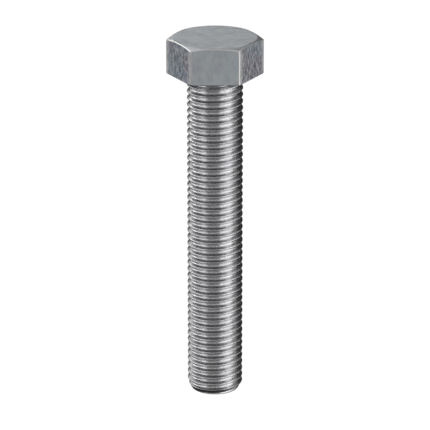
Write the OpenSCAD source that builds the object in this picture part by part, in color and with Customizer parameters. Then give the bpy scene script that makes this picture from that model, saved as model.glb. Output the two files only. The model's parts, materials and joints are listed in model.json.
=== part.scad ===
// Hexagon head bolt, threaded to the head.
// The origin is the centre of the bearing face under the head. The head points up, the shank down.
// The bolt is one piece of steel. It is drawn as its three formed zones, which meet face to face.

/* [Thread] */
// Nominal diameter of the thread, over its crests
thread_d = 20; // [18:1:22]
// Rise of the thread in one turn
thread_pitch = 2.5; // [1.5:0.25:3]
// Length over which the thread dies out below the neck
run_out_length = 2; // [1:0.5:5]
// Angle about the axis at which the thread is drawn
thread_turn = 147; // [0:1:359]

/* [Shank] */
// Length from the bearing face to the end of the point
shank_length = 120; // [60:5:150]
// Length of the plain neck under the head
neck_length = 1.25; // [1:0.25:4]
// Radius of the fillet between the neck and the bearing face
fillet_r = 0.8; // [0.4:0.1:1]
// Diameter of the flat end of the point
point_d = 17.2; // [15:0.1:18]
// Slope of the point's chamfer, from the axis
point_angle = 30; // [25:1:50]

/* [Head] */
// Width across flats
across_flats = 30; // [28:0.5:36]
// Height of the head
head_height = 13.3; // [11:0.1:16]
// Diameter of the flat top, inside the chamfer
top_d = 29.9; // [24:0.1:29.9]
// Slope of the chamfer round the top, from the flat
chamfer_angle = 20; // [15:1:30]

/* [Hidden] */

round_facets = 96;

// How far a cutting shape reaches past the solid that it cuts
overcut = 1;

// Basic profile of an ISO metric thread, from the height of its sharp triangle
sharp_height = thread_pitch * sqrt(3) / 2;
crest_r = thread_d / 2;
root_r = crest_r - sharp_height * 5 / 8;
crest_land = thread_pitch / 8;
flank_width = (crest_r - root_r) / sqrt(3);
// The blank that the thread is rolled from has the pitch diameter
blank_r = crest_r - sharp_height * 3 / 8;

// The profile's corners in one turn: root, crest, crest, root
corner_z = [0, flank_width, flank_width + crest_land, 2 * flank_width + crest_land];
corners = len(corner_z);

// Heights of the planes where the zones meet
neck_end_z = -neck_length;
point_z = -shank_length + thread_pitch;

// Whole turns by which the thread is drawn past the ends of its span, before it is cut
turns_below = 2;
turns_above = 1;

// The facets of a turn share a budget, so a long fine thread gets fewer of them
triangle_budget = 12500;
most_facets = 48;
most_turns = ceil(shank_length / thread_pitch) + turns_below + turns_above;
facets = min(most_facets, floor(triangle_budget / (2 * corners * most_turns)));

corner_r = across_flats / sqrt(3);

// 1 on the full thread, 0 on the plain neck
function depth_at(z) = min(1, max(0, (neck_end_z - z) / run_out_length));

function corner_radius(corner, z) =
    blank_r + ((corner == 1 || corner == 2 ? crest_r : root_r) - blank_r) * depth_at(z);

// Corner of the profile after a number of facets up the helix
function thread_point(low_z, step, corner) =
    let (a = 360 * step / facets)
    let (z = low_z + thread_pitch * step / facets + corner_z[corner])
    let (r = corner_radius(corner, z))
    [r * cos(a), r * sin(a), z];

// Index of a corner, where the one after the last is the first of the turn above
function corner_at(step, corner) =
    corner < corners ? corners * step + corner : corners * (step + facets) + corner - corners;

// Solid right-hand thread that covers the span and reaches past both ends of it
module thread_core(from_z, to_z) {
    first_turn = floor((from_z + shank_length) / thread_pitch) - turns_below;
    low_z = -shank_length + first_turn * thread_pitch;
    turns = ceil((to_z - low_z) / thread_pitch) + turns_above;
    steps = turns * facets;
    high_z = low_z + (turns + 1) * thread_pitch;
    surface = [
        for (step = [0:steps + facets])
            for (corner = [0:corners - 1]) thread_point(low_z, step, corner)
    ];
    below = len(surface);
    above = below + 1;
    side_faces = [
        for (step = [0:steps - 1])
            for (corner = [0:corners - 1])
                for (face = [
                    [corner_at(step, corner), corner_at(step, corner + 1), corner_at(step + 1, corner + 1)],
                    [corner_at(step, corner), corner_at(step + 1, corner + 1), corner_at(step + 1, corner)],
                ]) face
    ];
    end_faces = [
        for (step = [0:facets - 1]) [below, corner_at(step, 0), corner_at(step + 1, 0)],
        for (corner = [0:corners - 1]) [below, corner_at(0, corner + 1), corner_at(0, corner)],
        for (step = [steps:steps + facets - 1]) [above, corner_at(step + 1, 0), corner_at(step, 0)],
        for (corner = [0:corners - 1]) [above, corner_at(steps, corner), corner_at(steps, corner + 1)],
    ];
    rotate([0, 0, thread_turn])
        polyhedron(
            points = concat(surface, [[0, 0, low_z - thread_pitch], [0, 0, high_z + thread_pitch]]),
            faces = concat(side_faces, end_faces),
            convexity = 10
        );
}

// Hexagon with a chamfered top, and the filleted neck below it
module head() {
    outside_r = corner_r + overcut;
    chamfer_foot_z = head_height - (outside_r - top_d / 2) * tan(chamfer_angle);
    color([0.60, 0.62, 0.64])
        intersection() {
            rotate_extrude($fn = round_facets) {
                polygon([
                    [0, neck_end_z],
                    [blank_r, neck_end_z],
                    [blank_r, 0],
                    [outside_r, 0],
                    [outside_r, chamfer_foot_z],
                    [top_d / 2, head_height],
                    [0, head_height],
                ]);
                difference() {
                    translate([blank_r, -fillet_r])
                        square(fillet_r);
                    translate([blank_r + fillet_r, -fillet_r])
                        circle(r = fillet_r, $fn = round_facets);
                }
            }
            translate([0, 0, neck_end_z - overcut])
                cylinder(r = corner_r, h = head_height - neck_end_z + 2 * overcut, $fn = 6);
        }
}

// Rolled thread from the neck down to the point
module threaded_shank() {
    color([0.50, 0.51, 0.53])
        intersection() {
            thread_core(point_z, neck_end_z);
            translate([0, 0, point_z])
                cylinder(r = crest_r + overcut, h = neck_end_z - point_z, $fn = round_facets);
        }
}

// Last turn of the thread, which runs out on the cone of the chamfered point
module point() {
    cone_height = point_z + shank_length;
    cone_top_r = point_d / 2 + cone_height * tan(point_angle);
    color([0.44, 0.45, 0.47])
        intersection() {
            thread_core(-shank_length, point_z);
            translate([0, 0, -shank_length])
                cylinder(r1 = point_d / 2, r2 = cone_top_r, h = cone_height, $fn = round_facets);
        }
}

head();
threaded_shank();
point();
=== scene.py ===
import json
import math

import bpy
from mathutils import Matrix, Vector


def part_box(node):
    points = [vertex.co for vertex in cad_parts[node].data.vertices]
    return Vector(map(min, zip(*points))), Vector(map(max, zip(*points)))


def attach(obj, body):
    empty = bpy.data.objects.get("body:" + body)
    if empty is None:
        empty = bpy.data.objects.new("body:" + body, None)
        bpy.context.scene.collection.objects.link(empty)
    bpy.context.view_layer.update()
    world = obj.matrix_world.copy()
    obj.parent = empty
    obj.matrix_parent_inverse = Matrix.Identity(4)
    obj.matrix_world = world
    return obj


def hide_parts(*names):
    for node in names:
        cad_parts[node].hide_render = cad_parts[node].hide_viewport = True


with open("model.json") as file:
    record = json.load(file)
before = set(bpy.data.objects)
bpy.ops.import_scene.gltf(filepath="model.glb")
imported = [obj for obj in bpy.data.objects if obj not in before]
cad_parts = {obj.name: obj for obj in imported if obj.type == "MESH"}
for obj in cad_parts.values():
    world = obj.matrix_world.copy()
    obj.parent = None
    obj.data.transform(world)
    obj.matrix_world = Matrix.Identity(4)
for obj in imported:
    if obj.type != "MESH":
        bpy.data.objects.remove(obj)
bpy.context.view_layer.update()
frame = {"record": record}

# Looks of a hexagon head bolt that is threaded to the head. Lengths are in metres.
# The CAD model's boxes and mounts give the main sizes, and the thread's form is the ISO metric one.

MM = 0.001
TAU = 2 * math.pi

head_low, head_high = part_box("head")
shank_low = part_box("threaded_shank")[0]
point_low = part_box("point")[0]
mounts = {mount["name"]: mount for mount in frame["record"]["mounts"]}

# Head. The chamfer is a cone that starts at TOP_R
HEAD_TOP = head_high.z
HALF_FLATS = head_high.y
NECK_END = head_low.z
TOP_R = 14.95 * MM
CHAMFER_SLOPE = math.tan(math.radians(20))
CHAMFER_BLEND = 0.06 * MM

# Roundings: the upright corners, the chamfer's outer crease, the lower edge, and the neck's fillet
CORNER_ROUND = 0.6 * MM
CREASE_ROUND = 0.25 * MM
EDGE_ROUND = 0.3 * MM
FILLET_ROUND = 0.8 * MM

# Beside an edge: a narrow bright line, which is partly wear and partly a painted highlight, and a wider
# band that is rubbed
WEAR_AND_HIGHLIGHT_WIDTH = 0.35 * MM
RUBBED_WIDTH = 2.2 * MM

# Mesh of the head: the plain disc on top, gaps between rows beside an edge, and steps in each arc
DISC_R = 14 * MM
CREASE_GAP = 0.12 * MM
WEAR_AND_HIGHLIGHT_GAP = 0.1 * MM
SIDE_GAP = 0.15 * MM
CORNER_STEPS = 8
ARC_STEPS = 6
EDGE_STEPS = 4

# Thread. THREAD_TURN is the angle, in degrees, through which the helix is turned about the axis
PITCH = 2.5 * MM
SHARP_HEIGHT = PITCH * math.sqrt(3) / 2
CREST_R = mounts["thread"]["dims"]["r_mm"] * MM
BLANK_R = CREST_R - SHARP_HEIGHT * 3 / 8
RUN_OUT = 2 * MM
THREAD_TURN = 147
GROOVE_Z = -PITCH / 8 - PITCH * THREAD_TURN / 360
FLANK_SLOPE = math.sqrt(3)

# The root is one arc that touches both flanks, and a small arc rounds each side of the crest
ROOT_ROUND = SHARP_HEIGHT / 4
ROOT_CENTRE_R = CREST_R + SHARP_HEIGHT / 8 - SHARP_HEIGHT + 2 * ROOT_ROUND
ROOT_EDGE = ROOT_ROUND * math.cos(math.radians(30))
ROOT_EDGE_R = ROOT_CENTRE_R - ROOT_ROUND / 2
CREST_ROUND = 0.25 * MM
CREST_TANGENT = CREST_ROUND * math.tan(math.radians(30))
CREST_CORNER = PITCH / 2 - PITCH / 16
CREST_EDGE = CREST_CORNER - CREST_TANGENT / 2
CREST_FLAT = CREST_CORNER + CREST_TANGENT

# Point
POINT_Z = shank_low.z
TIP_Z = point_low.z
TIP_R = 8.6 * MM
CONE_SLOPE = math.tan(math.radians(30))
CONE_BLEND = 0.12 * MM


def smooth_min(a, b, width):
    """The smaller of two lengths, with the crease between them rounded over a width."""
    h = max(width - abs(a - b), 0) / width
    return min(a, b) - h * h * width / 4


# Thread geometry


def thread_profile(along):
    """Radius of the full thread at a distance along the axis from the middle of its groove."""
    if along < ROOT_EDGE:
        return ROOT_CENTRE_R - math.sqrt(ROOT_ROUND ** 2 - along ** 2)
    if along < CREST_EDGE:
        return ROOT_EDGE_R + (along - ROOT_EDGE) * FLANK_SLOPE
    if along < CREST_FLAT:
        return CREST_R - CREST_ROUND + math.sqrt(CREST_ROUND ** 2 - (CREST_FLAT - along) ** 2)
    return CREST_R


def thread_radius(angle, z):
    """Radius of the thread at an angle and a height, dying out at the neck."""
    turns = (z - GROOVE_Z) / PITCH - angle / TAU
    along = abs(turns - round(turns)) * PITCH
    depth = min(1, max(0, (NECK_END - z) / RUN_OUT))
    return BLANK_R + (thread_profile(along) - BLANK_R) * depth


def point_radius(angle, z):
    """Radius of the thread's last turn, cut by the cone of the point."""
    cone_r = TIP_R + (z - TIP_Z) * CONE_SLOPE
    return smooth_min(thread_radius(angle, z), cone_r, CONE_BLEND)


def on_circle(radius, angle, z):
    """Point at a radius and an angle from the axis, at a height."""
    return Vector((radius * math.cos(angle), radius * math.sin(angle), z))


def wall_normal(radius_at, angle, z):
    """Outward normal of a surface that is given as a radius at each angle and height."""
    step_z = 0.01 * MM
    step_angle = 0.002
    rise = (radius_at(angle, z + step_z) - radius_at(angle, z - step_z)) / (2 * step_z)
    swing = (radius_at(angle + step_angle, z) - radius_at(angle - step_angle, z)) / (2 * step_angle)
    radius = radius_at(angle, z)
    outward = Vector((math.cos(angle), math.sin(angle), 0))
    sideways = Vector((-math.sin(angle), math.cos(angle), 0))
    normal = outward * radius - sideways * swing - Vector((0, 0, radius * rise))
    return normal.normalized()


def make_piece(name, points, faces):
    """A smooth piece from points and faces, in the scene."""
    mesh = bpy.data.meshes.new(name)
    mesh.from_pydata(points, [], faces)
    mesh.polygons.foreach_set("use_smooth", [True] * len(faces))
    piece = bpy.data.objects.new(name, mesh)
    bpy.context.scene.collection.objects.link(piece)
    return piece


def set_normals(piece, normals):
    """A normal for each corner of each face."""
    piece.data.normals_split_custom_set([normal for face in normals for normal in face])


def add_cap(points, faces, normals, rim, up):
    """Flat end: a new point on the axis, joined to a rim of points. Up is 1 or, facing down, -1."""
    middle = len(points)
    points.append(Vector((0, 0, points[rim[0]].z)))
    for near, far in zip(rim, rim[1:] + rim[:1]):
        faces.append([middle, near, far] if up > 0 else [middle, far, near])
        normals.append([Vector((0, 0, up))] * 3)


def row_heights():
    """Heights of the mesh rows in one pitch, from the middle of the groove up."""
    root = [ROOT_ROUND * math.sin(math.radians(a)) for a in (0, 20, 40, 60)]
    flank = [(ROOT_EDGE + CREST_EDGE) / 2]
    crest = [CREST_FLAT - CREST_ROUND * math.sin(math.radians(a)) for a in (60, 40, 20, 0)]
    half = root + flank + crest
    return half + [PITCH / 2] + [PITCH - h for h in reversed(half[1:])]


def make_thread():
    """Rolled thread from the neck to the point, as rows that follow the helix."""
    columns = 96
    snap = 0.02 * MM
    offsets = row_heights()
    per_turn = len(offsets)
    # Spare turns at both ends, because the rows climb by a pitch as they go round
    first_turn = math.floor((POINT_Z - GROOVE_Z) / PITCH) - 1
    turns = math.ceil((NECK_END - POINT_Z) / PITCH) + 2
    points, point_normals = [], []
    index_of = {}

    def index_at(column, row):
        """Point of a column and a row. The rows beyond an end plane share one point on that plane."""
        if column == columns:
            return index_at(0, row + per_turn)
        angle = TAU * column / columns
        turn, place = divmod(row, per_turn)
        z = GROOVE_Z + PITCH * (first_turn + turn + column / columns) + offsets[place]
        key = (column, row)
        if z < POINT_Z + snap:
            z = POINT_Z
            key = (column, "low")
        if z > NECK_END - snap:
            z = NECK_END
            key = (column, "high")
        if key not in index_of:
            index_of[key] = len(points)
            points.append(on_circle(thread_radius(angle, z), angle, z))
            point_normals.append(wall_normal(point_radius, angle, z))
        return index_of[key]

    faces, normals = [], []
    for column in range(columns):
        for row in range(per_turn * turns):
            corners = [
                index_at(column, row),
                index_at(column + 1, row),
                index_at(column + 1, row + 1),
                index_at(column, row + 1),
            ]
            kept = list(dict.fromkeys(corners))
            if len(kept) > 2:
                faces.append(kept)
                normals.append([point_normals[i] for i in kept])
    for end, up in (("low", -1), ("high", 1)):
        rim = [index_of[(column, end)] for column in range(columns)]
        add_cap(points, faces, normals, rim, up)
    piece = make_piece("rolled_thread", points, faces)
    set_normals(piece, normals)
    return piece


def make_point():
    """Last turn of the thread on the cone of the point, as level rings down to the flat end."""
    columns = 192
    rows = 40
    last_row_height = 0.06 * MM
    drop = TIP_Z + last_row_height - POINT_Z
    heights = [POINT_Z + drop * row / rows for row in range(rows + 1)] + [TIP_Z]
    down = Vector((0, 0, -1))
    points, point_normals = [], []
    for z in heights:
        for column in range(columns):
            angle = TAU * column / columns
            points.append(on_circle(point_radius(angle, z), angle, z))
            point_normals.append(down if z == TIP_Z else wall_normal(point_radius, angle, z))
    faces, normals = [], []
    for row in range(len(heights) - 1):
        for column in range(columns):
            after = (column + 1) % columns
            face = [
                row * columns + column,
                (row + 1) * columns + column,
                (row + 1) * columns + after,
                row * columns + after,
            ]
            faces.append(face)
            normals.append([point_normals[i] for i in face])
    for row, up in ((0, 1), (len(heights) - 1, -1)):
        rim = [row * columns + column for column in range(columns)]
        add_cap(points, faces, normals, rim, up)
    piece = make_piece("chamfered_point", points, faces)
    set_normals(piece, normals)
    return piece


# Head geometry


def hexagon_outline():
    """Points round the hexagon with rounded corners: place, wear with a painted highlight, rubbing, and
    the number of the flat.
    """
    outline = []
    centre_r = (HALF_FLATS - CORNER_ROUND) / math.cos(math.radians(30))
    half_flat = centre_r / 2
    insets = [share * MM for share in (0.2, 0.5, 1, 1.6, RUBBED_WIDTH / MM, 4, 6)]
    places = [inset - half_flat for inset in insets]
    places += [0] + [-place for place in reversed(places)]
    for corner in range(6):
        middle = math.radians(60 * corner)
        centre = Vector((centre_r * math.cos(middle), centre_r * math.sin(middle)))
        for step in range(CORNER_STEPS + 1):
            angle = middle + math.radians(-30 + 60 * step / CORNER_STEPS)
            place = centre + CORNER_ROUND * Vector((math.cos(angle), math.sin(angle)))
            outline.append((place, 1, 1, corner))
        normal_angle = middle + math.radians(30)
        normal = Vector((math.cos(normal_angle), math.sin(normal_angle)))
        along = Vector((-normal.y, normal.x))
        for offset in places:
            inset = half_flat - abs(offset)
            # worn: the narrow bright line beside a corner, partly wear and partly a painted highlight
            worn = max(0, 1 - inset / WEAR_AND_HIGHLIGHT_WIDTH)
            rubbed = max(0, 1 - inset / RUBBED_WIDTH)
            outline.append((normal * HALF_FLATS + along * offset, worn, rubbed, corner))
    return outline


def top_height(radius):
    """Height of the head's top surface: the flat disc, and the cone of the chamfer outside it."""
    cone = HEAD_TOP - (radius - TOP_R) * CHAMFER_SLOPE
    return smooth_min(HEAD_TOP, cone, CHAMFER_BLEND)


def head_section(reach):
    """Section of the head from the top's middle to the neck, along a ray that leaves the side at a reach.

    Each point has a radius, a height, its wear and painted highlight from 0 to 1, and a zone.
    """
    section = [(share * DISC_R, HEAD_TOP, 0, "top") for share in (0.2, 0.4, 0.6, 0.8, 1)]
    edge_r = reach - CREASE_ROUND
    wear_and_highlight_r = edge_r - WEAR_AND_HIGHLIGHT_WIDTH
    crease_r = min(TOP_R, wear_and_highlight_r - WEAR_AND_HIGHLIGHT_GAP)
    for radius in (crease_r - CREASE_GAP, crease_r):
        section.append((radius, top_height(radius), 0, "top"))
    for share in (0.15, 0.5, 1):
        radius = crease_r + (wear_and_highlight_r - crease_r) * share
        section.append((radius, top_height(radius), 0, "chamfer"))
    # The last chamfer rows and the crease's arc are painted bright: partly wear, partly a painted
    # highlight
    section.append((edge_r - WEAR_AND_HIGHLIGHT_GAP, top_height(edge_r - WEAR_AND_HIGHLIGHT_GAP), 0.8, "chamfer"))
    tilt = math.atan((top_height(edge_r) - top_height(edge_r + WEAR_AND_HIGHLIGHT_GAP)) / WEAR_AND_HIGHLIGHT_GAP)
    touch_r = edge_r + CREASE_ROUND * math.sin(tilt)
    edge_z = top_height(touch_r) - CREASE_ROUND * math.cos(tilt)
    for step in range(ARC_STEPS + 1):
        angle = (math.pi / 2 - tilt) * (1 - step / ARC_STEPS)
        radius = edge_r + CREASE_ROUND * math.cos(angle)
        section.append((radius, edge_z + CREASE_ROUND * math.sin(angle), 1, "chamfer"))
    section.append((reach, edge_z - SIDE_GAP, 0, "side"))
    for share in (0.8, 0.6, 0.4, 0.2):
        section.append((reach, EDGE_ROUND + (edge_z - EDGE_ROUND) * share, 0, "side"))
    section.append((reach, EDGE_ROUND + SIDE_GAP, 0, "side"))
    low_r = reach - EDGE_ROUND
    for step in range(EDGE_STEPS + 1):
        angle = math.pi / 2 * step / EDGE_STEPS
        radius = low_r + EDGE_ROUND * math.cos(angle)
        section.append((radius, EDGE_ROUND - EDGE_ROUND * math.sin(angle), 0, "side"))
    fillet_r = BLANK_R + FILLET_ROUND
    for share in (0.05, 0.35, 0.7):
        section.append((low_r + (fillet_r - low_r) * share, 0, 0, "base"))
    for step in range(ARC_STEPS + 1):
        angle = math.pi / 2 * step / ARC_STEPS
        radius = fillet_r - FILLET_ROUND * math.sin(angle)
        section.append((radius, FILLET_ROUND * (math.cos(angle) - 1), 0, "neck"))
    section.append((BLANK_R, NECK_END, 0, "neck"))
    return section


def add_values(mesh, values):
    """Named numbers for each point, which the materials read."""
    for label, numbers in values.items():
        layer = mesh.attributes.new(label, "FLOAT", "POINT")
        layer.data.foreach_set("value", numbers)


def make_head():
    """Hexagon head with a chamfered top, rounded edges and the filleted neck below it."""
    outline = hexagon_outline()
    columns = len(outline)
    sections = [head_section(entry[0].length) for entry in outline]
    rows = len(sections[0])
    points = [Vector((0, 0, HEAD_TOP))]
    values = {"edge": [0], "rubbed": [0], "stain": [0], "top": [1], "chamfer": [0], "neck": [0]}
    for row in range(rows):
        for column in range(columns):
            place, worn, rubbed, flat = outline[column]
            radius, z, edge, zone = sections[column][row]
            ray = place.normalized()
            on_side = zone == "side"
            # Flats 1 and 4 are the back and the front one, which are clean
            stained = on_side and flat % 3 != 1
            points.append(Vector((ray.x * radius, ray.y * radius, z)))
            values["edge"].append(max(edge, worn if on_side else 0))
            values["rubbed"].append(rubbed if stained else 0)
            values["stain"].append(1 if stained else 0)
            values["top"].append(1 if zone in ("top", "chamfer") else 0)
            values["chamfer"].append(1 if zone == "chamfer" else 0)
            values["neck"].append(1 if zone == "neck" else 0)
    last = len(points)
    points.append(Vector((0, 0, NECK_END)))
    for numbers in values.values():
        numbers.append(0)
    faces = []
    for column in range(columns):
        after = (column + 1) % columns
        faces.append([0, 1 + column, 1 + after])
        for row in range(rows - 1):
            upper = 1 + row * columns
            lower = upper + columns
            faces.append([upper + column, lower + column, lower + after, upper + after])
        low = 1 + (rows - 1) * columns
        faces.append([last, low + after, low + column])
    piece = make_piece("forged_head", points, faces)
    add_values(piece.data, values)
    weighted = piece.modifiers.new("face_weighted_normals", "WEIGHTED_NORMAL")
    weighted.mode = "FACE_AREA"
    weighted.weight = 90
    return piece


# Materials


def add(tree, kind, **settings):
    """A new shader node with its properties set."""
    node = tree.nodes.new("ShaderNode" + kind)
    for name, value in settings.items():
        setattr(node, name, value)
    return node


def noise(tree, coordinates, scale, stretch=(1, 1, 1), detail=4, roughness=0.55):
    """Noise of a scale per metre, on coordinates that are stretched along the axes."""
    mapping = add(tree, "Mapping")
    mapping.inputs["Scale"].default_value = stretch
    texture = add(tree, "TexNoise")
    texture.inputs["Scale"].default_value = scale
    texture.inputs["Detail"].default_value = detail
    texture.inputs["Roughness"].default_value = roughness
    tree.links.new(coordinates, mapping.inputs["Vector"])
    tree.links.new(mapping.outputs["Vector"], texture.inputs["Vector"])
    return texture.outputs["Fac"]


def ramp(tree, value, stops):
    """Colours blended along a value. Each stop is a place and a colour."""
    node = add(tree, "ValToRGB")
    elements = node.color_ramp.elements
    while len(elements) < len(stops):
        elements.new(0.5)
    for element, (place, colour) in zip(elements, stops):
        element.position = place
        element.color = (*colour, 1)
    tree.links.new(value, node.inputs["Fac"])
    return node.outputs["Color"]


def spread(tree, value, from_low, from_high, to_low, to_high):
    """A value moved from one range to another, and kept inside it."""
    node = add(tree, "MapRange")
    node.inputs["From Min"].default_value = from_low
    node.inputs["From Max"].default_value = from_high
    node.inputs["To Min"].default_value = to_low
    node.inputs["To Max"].default_value = to_high
    tree.links.new(value, node.inputs["Value"])
    return node.outputs["Result"]


def mix_colour(tree, share, first, second, blend="MIX"):
    """Two colours mixed by a share. Each of the three is a socket or a plain value."""
    node = add(tree, "Mix", data_type="RGBA", blend_type=blend)
    for place, source in ((0, share), (6, first), (7, second)):
        socket = node.inputs[place]
        if isinstance(source, bpy.types.NodeSocket):
            tree.links.new(source, socket)
        else:
            socket.default_value = source if place == 0 else (*source, 1)
    return node.outputs[2]


def mix_number(tree, share, first, second):
    """A socket's value mixed with a plain number by a share."""
    node = add(tree, "Mix", data_type="FLOAT")
    tree.links.new(share, node.inputs[0])
    tree.links.new(first, node.inputs[2])
    node.inputs[3].default_value = second
    return node.outputs[0]


def metal(name, roughness):
    """A material with a bare metal shader, and its node tree and shader."""
    material = bpy.data.materials.new(name)
    material.use_nodes = True
    tree = material.node_tree
    shader = tree.nodes["Principled BSDF"]
    shader.inputs["Metallic"].default_value = 1
    shader.inputs["Roughness"].default_value = roughness
    return material, tree, shader


def bump(tree, shader, height, distance, strength):
    """Fine relief on a shader, from a height between 0 and 1."""
    node = add(tree, "Bump")
    node.inputs["Distance"].default_value = distance
    node.inputs["Strength"].default_value = strength
    tree.links.new(height, node.inputs["Height"])
    tree.links.new(node.outputs["Normal"], shader.inputs["Normal"])


def attribute(tree, name):
    """A named number of the mesh's points."""
    return add(tree, "Attribute", attribute_name=name).outputs["Fac"]


def multiply(tree, first, second):
    """The product of two sockets."""
    node = add(tree, "Math", operation="MULTIPLY")
    tree.links.new(first, node.inputs[0])
    tree.links.new(second, node.inputs[1])
    return node.outputs[0]


def head_material():
    """Dull zinc over forged steel: dark stained streaks on the side flats, rubbed bands by the edges, and
    bright edges that are partly wear and partly a painted highlight.
    """
    material, tree, shader = metal("head_zinc", 0.6)
    coordinates = add(tree, "TexCoord").outputs["Object"]
    brushed = noise(tree, coordinates, 700, (1, 1, 0.5), detail=6, roughness=0.6)
    flat_zinc = ramp(tree, brushed, [
        (0.36, (0.68, 0.72, 0.77)),
        (0.50, (0.73, 0.78, 0.81)),
        (0.66, (0.81, 0.84, 0.86)),
    ])
    wiped = noise(tree, coordinates, 520, (0.6, 1.3, 1), detail=6, roughness=0.65)
    top_zinc = ramp(tree, wiped, [
        (0.38, (0.73, 0.78, 0.83)),
        (0.50, (0.83, 0.87, 0.90)),
        (0.62, (0.92, 0.94, 0.95)),
    ])
    clean = mix_colour(tree, attribute(tree, "top"), flat_zinc, top_zinc)
    # Painted shade: the chamfer's zinc is a darker grey than the top's, so that under this light the
    # chamfer shows the same tone as the top
    clean = mix_colour(tree, attribute(tree, "chamfer"), clean, (0.70, 0.72, 0.755))
    streaks = noise(tree, coordinates, 1250, (1, 1, 0.42), detail=5, roughness=0.62)
    blue_stain = ramp(tree, streaks, [
        (0.36, (0.20, 0.26, 0.33)),
        (0.45, (0.41, 0.47, 0.53)),
        (0.54, (0.56, 0.61, 0.65)),
        (0.66, (0.86, 0.88, 0.89)),
    ])
    violet_stain = ramp(tree, streaks, [
        (0.36, (0.22, 0.21, 0.28)),
        (0.45, (0.41, 0.40, 0.46)),
        (0.54, (0.56, 0.56, 0.60)),
        (0.66, (0.86, 0.85, 0.86)),
    ])
    hue = spread(tree, noise(tree, coordinates, 90, detail=2), 0.4, 0.6, 0, 1)
    stained = mix_colour(tree, hue, blue_stain, violet_stain)
    base = mix_colour(tree, attribute(tree, "stain"), clean, stained)
    scuffs = spread(tree, noise(tree, coordinates, 700, (1, 1, 0.3), detail=5), 0.35, 0.55, 0.3, 1)
    rubbed = multiply(tree, attribute(tree, "rubbed"), scuffs)
    base = mix_colour(tree, rubbed, base, (0.96, 0.96, 0.97))
    # Near-white edges: partly wear, partly a painted highlight on the roundings and the narrow lines
    # beside them
    edge = attribute(tree, "edge")
    base = mix_colour(tree, edge, base, (1.0, 0.99, 0.97))
    neck = attribute(tree, "neck")
    base = mix_colour(tree, neck, base, (0.85, 0.85, 0.86))
    tree.links.new(base, shader.inputs["Base Color"])
    clouds = noise(tree, coordinates, 260, (1, 1, 0.7), detail=6)
    dull = spread(tree, clouds, 0.3, 0.7, 0.56, 0.68)
    dull = mix_number(tree, attribute(tree, "chamfer"), dull, 0.5)
    dull = mix_number(tree, spread(tree, edge, 0.85, 1, 0, 1), dull, 0.36)
    tree.links.new(mix_number(tree, neck, dull, 0.27), shader.inputs["Roughness"])
    grain = noise(tree, coordinates, 2600, detail=3)
    bump(tree, shader, grain, 0.02 * MM, 0.3)
    return material


def thread_material():
    """Bright zinc over rolled steel, with fine lines along the turns of the thread."""
    material, tree, shader = metal("thread_zinc", 0.27)
    coordinates = add(tree, "TexCoord").outputs["Object"]
    patches = noise(tree, coordinates, 300, detail=5)
    zinc = ramp(tree, patches, [
        (0.35, (0.80, 0.80, 0.82)),
        (0.65, (0.87, 0.87, 0.88)),
    ])
    lines = noise(tree, coordinates, 1300, (0.09, 0.09, 1), detail=3, roughness=0.6)
    worn = ramp(tree, lines, [
        (0.36, (0.86, 0.86, 0.87)),
        (0.52, (1.00, 1.00, 1.00)),
    ])
    zinc = mix_colour(tree, 1, zinc, worn, "MULTIPLY")
    tree.links.new(zinc, shader.inputs["Base Color"])
    tree.links.new(spread(tree, lines, 0.35, 0.65, 0.3, 0.24), shader.inputs["Roughness"])
    return material


# Studio

MIDDLE = Vector((0, 0, (TIP_Z + HEAD_TOP) / 2))
PANEL_DISTANCE = 1.2
FLOOR_R = 3
FLOOR_CORNERS = 64
# A little over 1, so that the floor is plain white
FLOOR_GLOW = 1.02

CAMERA_ELEVATION = math.radians(20)
CAMERA_DISTANCE = 1011.2 * MM
CAMERA_LENS = 234.9
CAMERA_SENSOR = 36

# Greys of the surroundings, from straight down at 0 to straight up at 1
WORLD_STRENGTH = 1.05
WORLD_STOPS = [
    (0.0, (0.02, 0.02, 0.02)),
    (0.40, (0.02, 0.02, 0.02)),
    (0.46, (0.43, 0.43, 0.43)),
    (0.72, (0.43, 0.43, 0.43)),
    (0.78, (0.16, 0.16, 0.16)),
    (0.85, (0.30, 0.30, 0.30)),
    (1.0, (0.30, 0.30, 0.30)),
]
# The dark side's azimuth and elevation, the cosines where it starts and is full, and how dark it is
DARK_SIDE = (158, 10)
DARK_SPREAD = (0.6, 0.8)
DARK_SHARE = 0.95


def make_floor():
    """Plain white floor that the bolt stands on. It glows by itself, takes no light and blocks none."""
    mesh = bpy.data.meshes.new("floor")
    corners = range(FLOOR_CORNERS)
    rim = [on_circle(FLOOR_R, TAU * corner / FLOOR_CORNERS, TIP_Z) for corner in corners]
    mesh.from_pydata(rim, [], [list(corners)])
    floor = bpy.data.objects.new("floor", mesh)
    bpy.context.scene.collection.objects.link(floor)
    material = bpy.data.materials.new("floor_white")
    material.use_nodes = True
    shader = material.node_tree.nodes["Principled BSDF"]
    shader.inputs["Base Color"].default_value = (0, 0, 0, 1)
    shader.inputs["Specular IOR Level"].default_value = 0
    shader.inputs["Emission Color"].default_value = (1, 1, 1, 1)
    shader.inputs["Emission Strength"].default_value = FLOOR_GLOW
    mesh.materials.append(material)
    floor.visible_glossy = False
    floor.visible_shadow = False


def toward(azimuth, elevation):
    """Direction from the bolt. Azimuth 0 is in front of it, on -Y, and 90 on its right, on +X."""
    around = math.radians(azimuth)
    up = math.radians(elevation)
    return Vector((math.sin(around) * math.cos(up), -math.cos(around) * math.cos(up), math.sin(up)))


def softbox(name, azimuth, elevation, width, height, radiance):
    """Rectangular light that faces the bolt's middle, in the direction that toward() gives."""
    light = bpy.data.lights.new(name, "AREA")
    light.shape = "RECTANGLE"
    light.size = width
    light.size_y = height
    light.energy = radiance * math.pi * width * height
    away = toward(azimuth, elevation)
    lamp = bpy.data.objects.new(name, light)
    lamp.location = MIDDLE + away * PANEL_DISTANCE
    lamp.rotation_euler = away.to_track_quat("Z", "Y").to_euler()
    lamp.visible_camera = False
    bpy.context.scene.collection.objects.link(lamp)


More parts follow.
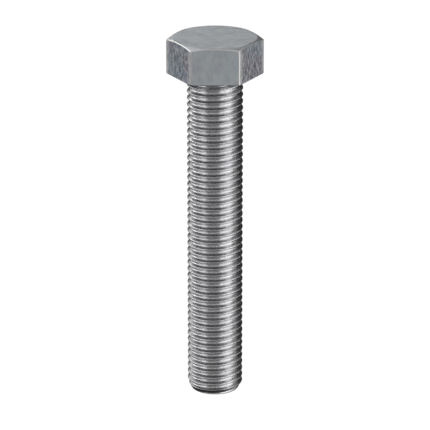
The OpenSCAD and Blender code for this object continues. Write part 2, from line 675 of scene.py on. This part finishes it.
def make_world():
    """Grey surroundings, lightest round the horizon, and dark below and behind on the right.

    What the camera sees past the floor is plain white.
    """
    world = bpy.data.worlds.new("studio")
    world.use_nodes = True
    tree = world.node_tree
    tree.nodes.clear()
    direction = add(tree, "TexCoord").outputs["Generated"]
    parts = add(tree, "SeparateXYZ")
    tree.links.new(direction, parts.inputs["Vector"])
    grey = ramp(tree, spread(tree, parts.outputs["Z"], -1, 1, 0, 1), WORLD_STOPS)
    across = add(tree, "VectorMath", operation="DOT_PRODUCT")
    across.inputs[1].default_value = toward(*DARK_SIDE)
    tree.links.new(direction, across.inputs[0])
    share = spread(tree, across.outputs["Value"], *DARK_SPREAD, 0, DARK_SHARE)
    colour = mix_colour(tree, share, grey, (0, 0, 0))
    around = add(tree, "Background")
    around.inputs["Strength"].default_value = WORLD_STRENGTH
    tree.links.new(colour, around.inputs["Color"])
    plain = add(tree, "Background")
    plain.inputs["Color"].default_value = (1, 1, 1, 1)
    path = add(tree, "LightPath")
    mixed = add(tree, "MixShader")
    output = add(tree, "OutputWorld")
    tree.links.new(path.outputs["Is Camera Ray"], mixed.inputs[0])
    tree.links.new(around.outputs[0], mixed.inputs[1])
    tree.links.new(plain.outputs[0], mixed.inputs[2])
    tree.links.new(mixed.outputs[0], output.inputs["Surface"])
    bpy.context.scene.world = world


def make_camera():
    """Long lens in front of the bolt and a little above it, aimed at the bolt's middle."""
    data = bpy.data.cameras.new("camera")
    data.sensor_width = CAMERA_SENSOR
    data.lens = CAMERA_LENS
    data.clip_start = 0.01
    data.clip_end = 100
    camera = bpy.data.objects.new("camera", data)
    back = Vector((0, -math.cos(CAMERA_ELEVATION), math.sin(CAMERA_ELEVATION)))
    camera.location = MIDDLE + back * CAMERA_DISTANCE
    camera.rotation_euler = (math.pi / 2 - CAMERA_ELEVATION, 0, 0)
    bpy.context.scene.collection.objects.link(camera)
    bpy.context.scene.camera = camera


head = make_head()
head.data.materials.append(head_material())
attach(head, "root")
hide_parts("head")

zinc = thread_material()

thread = make_thread()
thread.data.materials.append(zinc)
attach(thread, "root")
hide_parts("threaded_shank")

point = make_point()
point.data.materials.append(zinc)
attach(point, "root")
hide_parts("point")

make_floor()
# Each panel's azimuth, elevation, width, height and radiance
softbox("right_panel", 56, 4, 1.55, 1, 1)
softbox("right_low_panel", 66, -24, 0.6, 0.3, 0.9)
softbox("right_top_panel", 86, 64, 1, 0.55, 0.8)
softbox("right_back_panel", 128, -32, 0.5, 0.5, 0.8)
softbox("left_panel", -54, 3, 0.55, 1, 0.8)
softbox("left_side_panel", -79, 10, 0.5, 0.6, 0.8)
softbox("left_top_panel", -88, 62, 0.8, 0.6, 0.7)
softbox("left_back_panel", -116, 22, 0.5, 0.9, 1.4)
softbox("left_rim_panel", -156, 38, 0.3, 0.4, 2.4)
softbox("left_low_rim_panel", -146, 16, 0.4, 0.4, 0.3)
make_world()
make_camera()
bpy.context.scene.view_settings.view_transform = "Standard"
